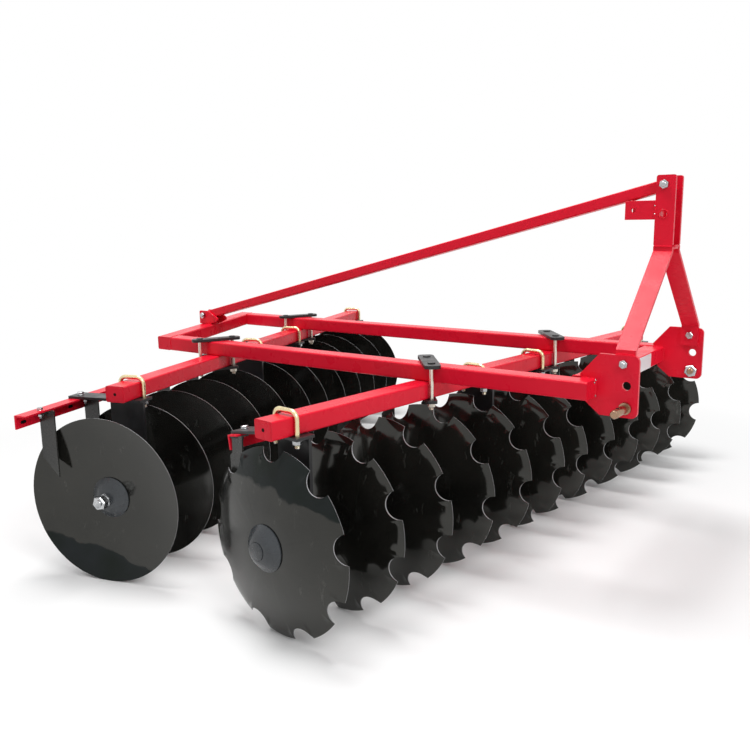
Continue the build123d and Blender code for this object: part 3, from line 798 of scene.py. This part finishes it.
def front_scrapers():
    """The front row's hanger plates, scraper bar and blades, on arms that fall to the rear."""
    row = "front"
    along, back = row_axes(row)
    reach_way, rise_way = arm_axes(row)
    fall = radians(ROWS[row].arm_fall)
    plates = Builder("front_hanger_plate_pieces", "black_plate", BLACK)
    for web in web_places(row):
        middle = web - PLATE_SHIFT
        corner = on_row(row, middle - PLATE_HALF, 0, PLATE_BOTTOM)
        plates.box(corner, back, Z, (PLATE_FRONT, 0), (WEB_REAR, PLATE_THICK), along * 2 * PLATE_HALF)
        corner = on_arm(row, middle - PLATE_HALF, 0, 0)
        outline = [(-ARM_LAP, 0), (ARM_REACH, 0), (ARM_REACH, PLATE_THICK), (0, PLATE_THICK)]
        plates.prism(corner, reach_way, rise_way, outline, along * 2 * PLATE_HALF)
    plates.finish("front_hanger_plates", bevel=PLATE_BEVEL)

    start, end = ROWS[row].bar_start, ROWS[row].bar_end
    bar = Builder("front_scraper_angle", "red_paint", RED)
    inner = ARM_REACH - ANGLE_THICK
    outline = [
        (ARM_REACH, 0),
        (ARM_REACH, -ANGLE_LEG),
        (inner, -ANGLE_LEG),
        (inner, -ANGLE_THICK - ANGLE_FILLET),
        (inner - ANGLE_FILLET / 4, -ANGLE_THICK - ANGLE_FILLET / 4),
        (inner - ANGLE_FILLET, -ANGLE_THICK),
        (ARM_REACH - ANGLE_LEG, -ANGLE_THICK),
        (ARM_REACH - ANGLE_LEG, 0),
    ]
    bar.prism(on_arm(row, start, 0, 0), reach_way, rise_way, outline, along * (end - start))
    bar.finish("front_scraper_bar", bevel=BAR_BEVEL)

    blades = Builder("front_scraper_plates", "scraper_steel", BLADE)
    neck = BLADE_REAR - BLADE_NECK - ANGLE_LEG * sin(fall)
    neck_bottom = PLATE_BOTTOM - ARM_REACH * sin(fall) - ANGLE_LEG * cos(fall) - ARM_LAP
    drop = PLATE_BOTTOM - ANGLE_THICK / cos(fall)
    outline = [
        (BLADE_FRONT, drop - (BLADE_FRONT - WEB_REAR) * tan(fall)),
        (neck, drop - (neck - WEB_REAR) * tan(fall)),
        (neck, neck_bottom),
        (BLADE_REAR, neck_bottom - BLADE_SHOULDER),
        (BLADE_REAR, BLADE_SLANT),
        (BLADE_FRONT, BLADE_TIP),
    ]
    for rim in rim_places(row):
        place = on_row(row, rim + BLADE_FROM_RIM, 0, 0)
        blades.prism(place, back, Z, outline, along * BLADE_THICK)
        foot = on_arm(row, rim + BLADE_FROM_RIM, FOOT_MIDDLE, -ANGLE_THICK)
        corners = (-FOOT_HALF, -BLADE_THICK), (FOOT_HALF, 0)
        blades.box(foot, reach_way, rise_way, *corners, along * BLADE_FOOT)
    blades.finish("front_scraper_blades", bevel=PLATE_BEVEL)


def scraper_bolts():
    """Bolts through the scraper bars, at the arms and at each blade's foot."""
    bolts = Builder("scraper_bolts", "silver_bolt", SILVER)
    for row in ROWS:
        hollow = ROWS[row].hollow
        rise_way = arm_axes(row)[1]
        middles = [web - hollow * PLATE_SHIFT for web in web_places(row)]
        for middle in middles:
            bolts.bolt(on_arm(row, middle, FOOT_MIDDLE, PLATE_THICK), rise_way, ARM_BOLT)
        for rim in rim_places(row):
            foot = rim + hollow * (BLADE_FROM_RIM + BLADE_FOOT * FOOT_BOLT_PART)
            if all(abs(foot - middle) > PLATE_HALF + ARM_BOLT for middle in middles):
                bolts.bolt(on_arm(row, foot, FOOT_MIDDLE, 0), rise_way, FOOT_BOLT)
            nut_place = on_arm(row, foot, FOOT_MIDDLE, -ANGLE_THICK - BLADE_THICK)
            bolts.nut(nut_place, -rise_way, FOOT_BOLT, FOOT_TAIL)
    bolts.finish()


def scraper_slots():
    """Painted shade: thin black slabs on both faces of the scraper bars' upright leg, in place of its open
    slots.
    """
    slots = Builder("scraper_bar_slots", "black_plate", PAINTED_HOLE_SHADE)
    for row in ROWS:
        along = row_axes(row)[0]
        reach_way, rise_way = arm_axes(row)
        place = ROWS[row].bar_start + SLOT_START
        while place < ROWS[row].bar_end - SLOT_END:
            for reach, out in ((ARM_REACH, reach_way), (ARM_REACH - ANGLE_THICK, -reach_way)):
                middle = on_arm(row, place, reach, SLOT_LEVEL)
                # Each slot is a thin black slab of painted shade on the bar's face
                slots.slab(middle, along, rise_way, out, *SLOT_SIZE)
            place += DISC_PITCH / 2
    slots.finish()


def u_bolt_nuts():
    """Nuts and thread ends under the hanger plates."""
    nuts = Builder("u_bolt_nuts", "silver_bolt", SILVER)
    for row in ROWS:
        for web in web_places(row):
            along = web - ROWS[row].hollow * U_BOLT_FROM_WEB
            for back in (-U_BOLT_OUT, TUBE_WIDE + U_BOLT_OUT):
                nuts.nut(on_row(row, along, back, PLATE_BOTTOM), -Z, U_BOLT_NUT, U_BOLT_TAIL)
    nuts.finish()


def hanger_welds():
    """Weld beads between hanger plates and webs."""
    beads = Builder("hanger_weld_beads", "black_plate", BLACK)
    for row in ROWS:
        for web in web_places(row):
            for side in (-HANGER_BEAD_OUT, HANGER_BEAD_OUT):
                start = on_row(row, web + side, PLATE_FRONT + 0.002, PLATE_BOTTOM)
                end = on_row(row, web + side, WEB_REAR - 0.002, PLATE_BOTTOM)
                beads.bead(start, end, HANGER_BEAD)
    beads.finish()


# Clamp strips: length and width on top in each row, then the sizes of both strips and of their bolts
TOP_STRIPS = (("front", 0.250, 0.060), ("rear", 0.216, 0.048))
TOP_STRIP_THICK, TOP_STRIP_ROUND = 0.013, 0.018
LOW_STRIP_LONG, LOW_STRIP_WIDE = 0.186, 0.042
LOW_STRIP_THICK, LOW_STRIP_ROUND = 0.012, 0.010
CLAMP_BOLT, CLAMP_TAIL = 0.016, 0.010
CLAMP_SHANK = [(0.008, 0), (0.008, 0.144), (0.0078, 0.145)]
CLAMP_HEAD_FLATS, CLAMP_HEAD_HIGH = 0.026, 0.004


def clamps():
    """Clamp strips with rounded ends over and under each crossing, with two long bolts each."""
    for row, long, wide in TOP_STRIPS:
        along, back = row_axes(row)
        hollow = ROWS[row].hollow
        strips = Builder(f"{row}_clamp_strip_pieces", "black_plate", BLACK)
        bolts = Builder(f"{row}_clamp_bolt_pieces", "silver_bolt", CREAM)
        way = (along + back * hollow).normalized()
        across = Z.cross(way)
        for side in (-1, 1):
            middle = on_row(row, crossing(row, side), TUBE_WIDE / 2, 0)
            top = long, wide, TOP_STRIP_THICK, TOP_STRIP_ROUND
            low = LOW_STRIP_LONG, LOW_STRIP_WIDE, LOW_STRIP_THICK, LOW_STRIP_ROUND
            strips.slab(middle + Z * FRAME_TOP, way, across, Z, *top)
            strips.slab(middle + Z * BEAM_BOTTOM, way, across, -Z, *low)
            for end in (-1, 1):
                place = middle + way * end * sqrt(2) * CLAMP_OFFSET
                head = place + Z * (FRAME_TOP + TOP_STRIP_THICK)
                foot = place + Z * (BEAM_BOTTOM - LOW_STRIP_THICK)
                strips.hexagon(head, Z, CLAMP_HEAD_FLATS, CLAMP_HEAD_HIGH, along)
                bolts.turned(head, -Z, CLAMP_SHANK, 24)
                bolts.nut(foot, -Z, CLAMP_BOLT, CLAMP_TAIL, along)
        strips.finish(f"{row}_clamp_strips", bevel=BAR_BEVEL)
        bolts.finish(f"{row}_clamp_bolts")


# Hitch, mast and brace

HITCH_BOLT_FLATS, HITCH_NUT_HIGH, HITCH_HEAD_HIGH = 0.025, 0.013, 0.010
HITCH_THREAD = 0.016, 0.005
PIN_NUT_FLATS, PIN_NUT_HIGH = 0.043, 0.018
PIN_THREAD = 0.024, 0.009
# Cross hole for the linch pin: radius, distance from the plate, level from the pin's middle
LINCH_HOLE, LINCH_FROM_PLATE, LINCH_OUT = 0.0055, 0.074, 0.0136
COLLAR_END = [(0.0190, 0.0), (0.0200, 0.0010), (0.0200, 0.0110), (0.0190, 0.0125), (0.0142, 0.0128)]
PIN_PROFILE = COLLAR_END + [(0.0138, 0.0150), (0.0140, 0.0160), (0.0140, 0.1040), (0.0112, 0.1080)]
BRACE_BOLT_RADIUS, BRACE_BOLT_FLATS = 0.012, 0.028
BRACE_NUT_HIGH, BRACE_HEAD_HIGH = 0.014, 0.012
BRACE_THREAD = 0.017, 0.005
BRACKET_REAR, BRACKET_FOOT, BRACKET_TOP = -2.2846, -2.2055, 0.834
LUG_REAR, LUG_LOW, LUG_HIGH = -0.048, 1.271, 1.336
LUG_HOLE, LUG_HOLE_RADIUS = (-0.019, 1.303), 0.0083
RING_OUTER = [(0.0165, -0.001), (0.0165, 0.0012), (0.0155, 0.0020)]
RING_PROFILE = RING_OUTER + [(0.0140, 0.0020), (0.0130, 0.0010), (0.0130, -0.001)]
# Radius of the weld beads, and the level of those over the hitch plates
BEAD = 0.0032
PLATE_TOP_BEAD = 0.851
DROP_PROFILE = [(0.0012, -0.002), (0.0030, 0), (0.0034, 0.0012), (0.0024, 0.0026), (0.0008, 0.0032)]
MAST_FLOOR_LONG, MAST_FLOOR_THICK, MAST_FLOOR_ROUND = 0.063, 0.010, 0.002
CAP_INSET, CAP_THICK, CAP_ROUND = 0.012, 0.0012, 0.006
VENT_PROFILE = [(0.0058, 0), (0.0058, 0.0008)]
# The bare plate: level of its middle, then length, height, thickness and rounding
LABEL_LEVEL = 0.736
LABEL_SIZE = 0.430, 0.055, 0.0010, 0.003


def hitch_bolts():
    """The bolts through hitch plates and A-frame bars, and the pins' nuts inside."""
    bolts = Builder("hitch_bolts", "silver_bolt", SILVER, BRONZE)
    for side in (-1, 1):
        out = Y * side
        outer = machine(HITCH_BOLT_X, side * RAIL_INNER, HITCH_BOLT_Z)
        inner = machine(HITCH_BOLT_X, side * BAR_INNER, HITCH_BOLT_Z)
        bolts.hexagon(outer, out, HITCH_BOLT_FLATS, HITCH_NUT_HIGH, X + Z * 0.4)
        bolts.thread(outer + out * 0.012, out, *HITCH_THREAD)
        bolts.hexagon(inner, -out, HITCH_BOLT_FLATS, HITCH_HEAD_HIGH, X + Z * 0.2)
        nut = machine(PIN_X, side * PLATE_INNER, PIN_Z)
        bolts.hexagon(nut, -out, PIN_NUT_FLATS, PIN_NUT_HIGH, X + Z * 0.3)
        bolts.paint = 1
        bolts.thread(nut - out * 0.017, -out, *PIN_THREAD)
        bolts.paint = 0
    bolts.finish()


def hitch_pins():
    """Turned lower hitch pins with a collar, a chamfered end and a hole for the linch pin, drawn as black
    discs of painted shade.
    """
    for side, name in ((-1, "near"), (1, "far")):
        pin = Builder(f"{name}_turned_pin", "gold_zinc", BRONZE, PAINTED_HOLE_SHADE)
        pin.turned(machine(PIN_X, side * RAIL_INNER, PIN_Z), Y * side, PIN_PROFILE, 40)
        # Thin black discs of painted shade stand for the linch pin's cross hole
        pin.paint = 1
        for way in (-1, 1):
            hole = machine(PIN_X, side * (RAIL_INNER + LINCH_FROM_PLATE), PIN_Z + way * LINCH_OUT)
            pin.turned(hole, Z * way, [(LINCH_HOLE, 0), (LINCH_HOLE, 0.0006)], 20)
        pin.finish(f"{name}_hitch_pin")


def brace_ends():
    """Bolts through both ends of the brace."""
    bolts = Builder("brace_bolt_pieces", "silver_bolt", SILVER)
    top, foot = (LINK_X, BRACE_TOP_Z, MAST_HALF), (BRACE_FOOT_X, BRACE_FOOT_Z, BRACKET_HALF)
    for x, z, half in (top, foot):
        near, far = machine(x, -half, z), machine(x, half, z)
        bolts.turned(near, Y, [(BRACE_BOLT_RADIUS, 0), (BRACE_BOLT_RADIUS, 2 * half)], 24)
        bolts.hexagon(near, -Y, BRACE_BOLT_FLATS, BRACE_NUT_HIGH, X + Z * 0.4)
        bolts.thread(near - Y * 0.013, -Y, *BRACE_THREAD)
        bolts.hexagon(far, Y, BRACE_BOLT_FLATS, BRACE_HEAD_HIGH, X + Z * 0.1)
    bolts.finish("brace_bolts")


def bracket():
    """Two cheeks on a foot, welded on the rear tube, that hold the lower end of the brace."""
    piece = Builder("brace_bracket_cheeks", "red_paint", RED)
    outline = [
        (BRACKET_REAR, FRAME_TOP),
        (BRACKET_FOOT, FRAME_TOP),
        (-2.158, 0.784),
        (-2.152, 0.794),
        (-2.158, 0.803),
        (-2.212, 0.831),
        (-2.220, BRACKET_TOP),
        (BRACKET_REAR + 0.005, BRACKET_TOP),
        (BRACKET_REAR, BRACKET_TOP - 0.005),
    ]
    inner = BRACKET_HALF - BRACKET_THICK
    for start in (-BRACKET_HALF, inner):
        piece.prism(machine(0, start, 0), X, Z, outline, Y * BRACKET_THICK)
    corners = (BRACKET_REAR, FRAME_TOP), (BRACKET_FOOT, FRAME_TOP + 0.008)
    piece.box(machine(0, -inner, 0), X, Z, *corners, Y * 2 * inner)
    piece.finish("brace_bracket", bevel=BAR_BEVEL)


def mast_lugs():
    """Two lug plates with a hole, in line with the mast's cheeks."""
    lugs = Builder("mast_lug_plates", "red_paint", RED)
    rear, front = LUG_REAR, MAST_REAR
    outline = [(rear, LUG_LOW), (front, LUG_LOW), (front, LUG_HIGH), (rear, LUG_HIGH)]
    for start in (-MAST_HALF, MAST_HALF - CHEEK_THICK):
        place = machine(0, start, 0)
        lugs.holed(place, X, Z, outline, LUG_HOLE, LUG_HOLE_RADIUS, Y * CHEEK_THICK)
    lugs.finish("mast_lug", bevel=BAR_BEVEL)


def mast_rings():
    """Rims pressed round the top link hole in the mast's cheeks."""
    rings = Builder("mast_bosses", "red_paint", RED)
    for side in (-1, 1):
        place = machine(LINK_X, side * MAST_HALF, LINK_Z)
        rings.turned(place, Y * side, RING_PROFILE, 40, closed=True)
    rings.finish()


def welds():
    """Weld beads where tubes, plates and the mast meet."""
    beads = Builder("weld_beads", "red_paint", RED)
    low, high, seam = BEAM_TOP + 0.005, FRAME_TOP - 0.005, FRAME_TOP - 0.001
    rear, front = MAST_REAR, MAST_FRONT
    for side in (-1, 1):
        inner, rail, cheek = side * PLATE_INNER, side * RAIL_INNER, side * MAST_HALF
        face = -TUBE_SETBACK
        runs = [
            ((face - 0.006, inner, FRAME_TOP), (face - TUBE_WIDE + 0.006, inner, FRAME_TOP)),
            ((face, inner, low), (face, inner, high)),
            ((0, rail, low), (0, rail, high)),
            ((-0.050, rail, seam), (-0.002, rail, seam)),
            ((rear + 0.001, cheek, MAST_FOOT), (front - 0.001, cheek, MAST_FOOT)),
            ((rear, cheek, LUG_LOW + 0.002), (rear, cheek, LUG_HIGH - 0.002)),
            ((rear + 0.002, inner, PLATE_TOP_BEAD), (front - 0.002, inner, PLATE_TOP_BEAD)),
        ]
        for start, end in runs:
            beads.bead(machine(*start), machine(*end), BEAD)
    reach, level = MAST_HALF - CHEEK_THICK - 0.001, MAST_FOOT + 0.001
    beads.bead(machine(front, -reach, level), machine(front, reach, level), 0.004)
    skew = tan(REAR_SKEW)
    face = NEAR_RAIL_REAR + TUBE_WIDE / cos(REAR_SKEW)
    for inner, outer in ((-RAIL_INNER, -HALF_WIDTH), (RAIL_INNER, HALF_WIDTH)):
        start = machine(face - (inner + HALF_WIDTH) * skew, inner, seam)
        end = machine(face - (outer + HALF_WIDTH) * skew, outer, seam)
        beads.bead(start, end, BEAD)
        beads.bead(end - Z * 0.006, end - Z * 0.054, BEAD)
    beads.finish()


def weld_drops():
    """Bare drops of weld metal at the front corners of the rails and beside the mast."""
    drops = Builder("weld_drops", "silver_bolt", SILVER)
    for side in (-1, 1):
        for x, y, z, out in (
            (0.000, RAIL_INNER + 0.004, FRAME_TOP - 0.004, X + Z),
            (0.000, RAIL_INNER + 0.003, FRAME_TOP - TUBE_HIGH + 0.004, X),
            (0.001, RAIL_INNER + 0.016, FRAME_TOP - 0.010, X),
            (MAST_REAR, MAST_HALF + 0.002, LINK_Z, -X),
            (MAST_REAR, MAST_HALF + 0.002, LINK_Z + 0.028, -X),
        ):
            drops.turned(machine(x, side * y, z), out, DROP_PROFILE, 12)
    drops.finish()


def mast_floor():
    """The plate that closes the gap between the bars under the mast."""
    plate = Builder("mast_floor", "red_paint", RED)
    middle = machine((MAST_FRONT + MAST_REAR) / 2, 0, MAST_FOOT - MAST_FLOOR_THICK)
    wide = 2 * (MAST_HALF - CHEEK_THICK)
    plate.slab(middle, X, Y, Z, MAST_FLOOR_LONG, wide, MAST_FLOOR_THICK, MAST_FLOOR_ROUND)
    plate.finish(bevel=0.0008)


def tube_caps():
    """End caps of the gang beams and rails, each beam's with a small vent hole drawn as a black disc of
    painted shade.
    """
    caps = Builder("tube_caps", "red_paint", RED)
    holes = Builder("vent_holes", "black_plate", PAINTED_HOLE_SHADE)
    size = TUBE_WIDE - CAP_INSET, TUBE_HIGH - CAP_INSET, CAP_THICK, CAP_ROUND
    for row in ROWS:
        along, back = row_axes(row)
        for place, out in ((0, -along), (ROWS[row].length, along)):
            middle = on_row(row, place, TUBE_WIDE / 2, (BEAM_TOP + BEAM_BOTTOM) / 2)
            caps.slab(middle, back, Z, out, *size)
            # A thin black disc of painted shade stands for the vent hole
            holes.turned(middle + out * 0.0008, out, VENT_PROFILE, 20)
    for side in (-1, 1):
        middle = machine(0, side * (HALF_WIDTH - TUBE_WIDE / 2), FRAME_TOP - TUBE_HIGH / 2)
        caps.slab(middle, Y, Z, X, *size)
    caps.finish()
    holes.finish()


def blank_label():
    """The bare plate on the front face of the front tube."""
    label = Builder("blank_plate", "red_paint", LABEL)
    label.slab(machine(-TUBE_SETBACK, 0, LABEL_LEVEL), Y, Z, X, *LABEL_SIZE)
    label.finish()


# Stage, lamps and camera

FLOOR_HALF = 60.0
FLOOR_GREY = (0.86, 0.86, 0.86)
# The floor turns into the white background between these distances
FLOOR_FADE = 1.6, 2.9
# The sky's colours at the horizon and above this height of its unit sphere
SKY_LOW, SKY_HIGH, SKY_TOP = (0.42, 0.43, 0.45, 1), (*WHITE, 1), 0.75
SKY_STRENGTH = 0.5
CLIP_END = 200
# Each lamp's place, what it looks at, size in metres and power in watts
LAMPS = {
    "key_lamp": ((6.9, -3.0, 6.5), (0, 0, 0.5), 4.0, 290),
    "top_lamp": ((-0.7, -0.9, 6.5), (0.2, -0.3, 0.5), 3.0, 300),
}


def floor():
    """A pale floor that keeps the shadow and runs out into the white background."""
    data = bpy.data.meshes.new("studio_floor")
    corners = [(x * FLOOR_HALF, y * FLOOR_HALF, 0) for x, y in ((-1, -1), (1, -1), (1, 1), (-1, 1))]
    data.from_pydata(corners, [], [(0, 1, 2, 3)])
    piece = added("studio_floor", data)
    made = Shader("studio_floor", FLOOR_GREY, 0.9)
    made.gloss(0.0)
    distance = made.node("ShaderNodeVectorMath", operation="LENGTH")
    made.join(made.place.outputs["Object"], distance.inputs[0])
    fade = made.remap(distance.outputs["Value"], *FLOOR_FADE)
    seen = seen_rays(made.nodes, made.links)
    white = made.node("ShaderNodeEmission")
    fill(white, {"Color": (*WHITE, 1), "Strength": 1.0})
    mix = made.node("ShaderNodeMixShader")
    made.join(made.math("MULTIPLY", fade, seen), mix.inputs["Fac"])
    made.join(made.bsdf.outputs["BSDF"], mix.inputs[1])
    made.join(white.outputs["Emission"], mix.inputs[2])
    made.join(mix.outputs["Shader"], made.nodes["Material Output"].inputs["Surface"])
    data.materials.append(made.material)


def world():
    """White behind the object, and a soft overcast sky that lights it."""
    made = bpy.data.worlds.new("studio_sky")
    made.use_nodes = True
    nodes, links = made.node_tree.nodes, made.node_tree.links
    sky = nodes["Background"]
    place = nodes.new("ShaderNodeTexCoord")
    parts = nodes.new("ShaderNodeSeparateXYZ")
    links.new(place.outputs["Generated"], parts.inputs["Vector"])
    ramp = nodes.new("ShaderNodeValToRGB")
    low, high = ramp.color_ramp.elements
    low.color, high.color = SKY_LOW, SKY_HIGH
    high.position = SKY_TOP
    links.new(parts.outputs["Z"], ramp.inputs["Fac"])
    links.new(ramp.outputs["Color"], sky.inputs["Color"])
    sky.inputs["Strength"].default_value = SKY_STRENGTH
    white = nodes.new("ShaderNodeBackground")
    fill(white, {"Color": (*WHITE, 1), "Strength": 1.0})
    mix = nodes.new("ShaderNodeMixShader")
    links.new(seen_rays(nodes, links), mix.inputs["Fac"])
    links.new(sky.outputs["Background"], mix.inputs[1])
    links.new(white.outputs["Background"], mix.inputs[2])
    links.new(mix.outputs["Shader"], nodes["World Output"].inputs["Surface"])
    bpy.context.scene.world = made


def lamp(name, place, target, size, power):
    """A round soft lamp that looks from its place to the target."""
    data = bpy.data.lights.new(name, "AREA")
    data.shape, data.size, data.energy = "DISK", size, power
    piece = added(name, data)
    piece.location = place
    piece.rotation_euler = (Vector(target) - Vector(place)).to_track_quat("-Z", "Y").to_euler()


def camera():
    """The photograph's camera."""
    ahead = Vector((
        -sin(CAMERA_AZIMUTH) * cos(CAMERA_DROP),
        cos(CAMERA_AZIMUTH) * cos(CAMERA_DROP),
        -sin(CAMERA_DROP),
    ))
    level = Vector((cos(CAMERA_AZIMUTH), sin(CAMERA_AZIMUTH), 0))
    upright = level.cross(ahead)
    right = level * cos(CAMERA_ROLL) + upright * sin(CAMERA_ROLL)
    up = upright * cos(CAMERA_ROLL) - level * sin(CAMERA_ROLL)
    turn = Matrix((right, up, -ahead)).transposed().to_4x4()
    data = bpy.data.cameras.new("photo_camera")
    data.sensor_width = SENSOR
    data.lens = FOCAL_PIXELS * SENSOR / IMAGE_PIXELS
    data.clip_end = CLIP_END
    piece = added("photo_camera", data)
    piece.matrix_world = Matrix.Translation(DATUM + CAMERA_PLACE) @ turn
    bpy.context.scene.camera = piece


dress_frame()
notched_gangs()
gang_axles()
front_scrapers()
scraper_bolts()
scraper_slots()
u_bolt_nuts()
hanger_welds()
clamps()
hitch_bolts()
hitch_pins()
brace_ends()
bracket()
mast_lugs()
mast_rings()
mast_floor()
welds()
weld_drops()
tube_caps()
blank_label()
floor()
world()
for lamp_name, lamp_values in LAMPS.items():
    lamp(lamp_name, *lamp_values)
camera()
bpy.context.scene.view_settings.view_transform = "Standard"
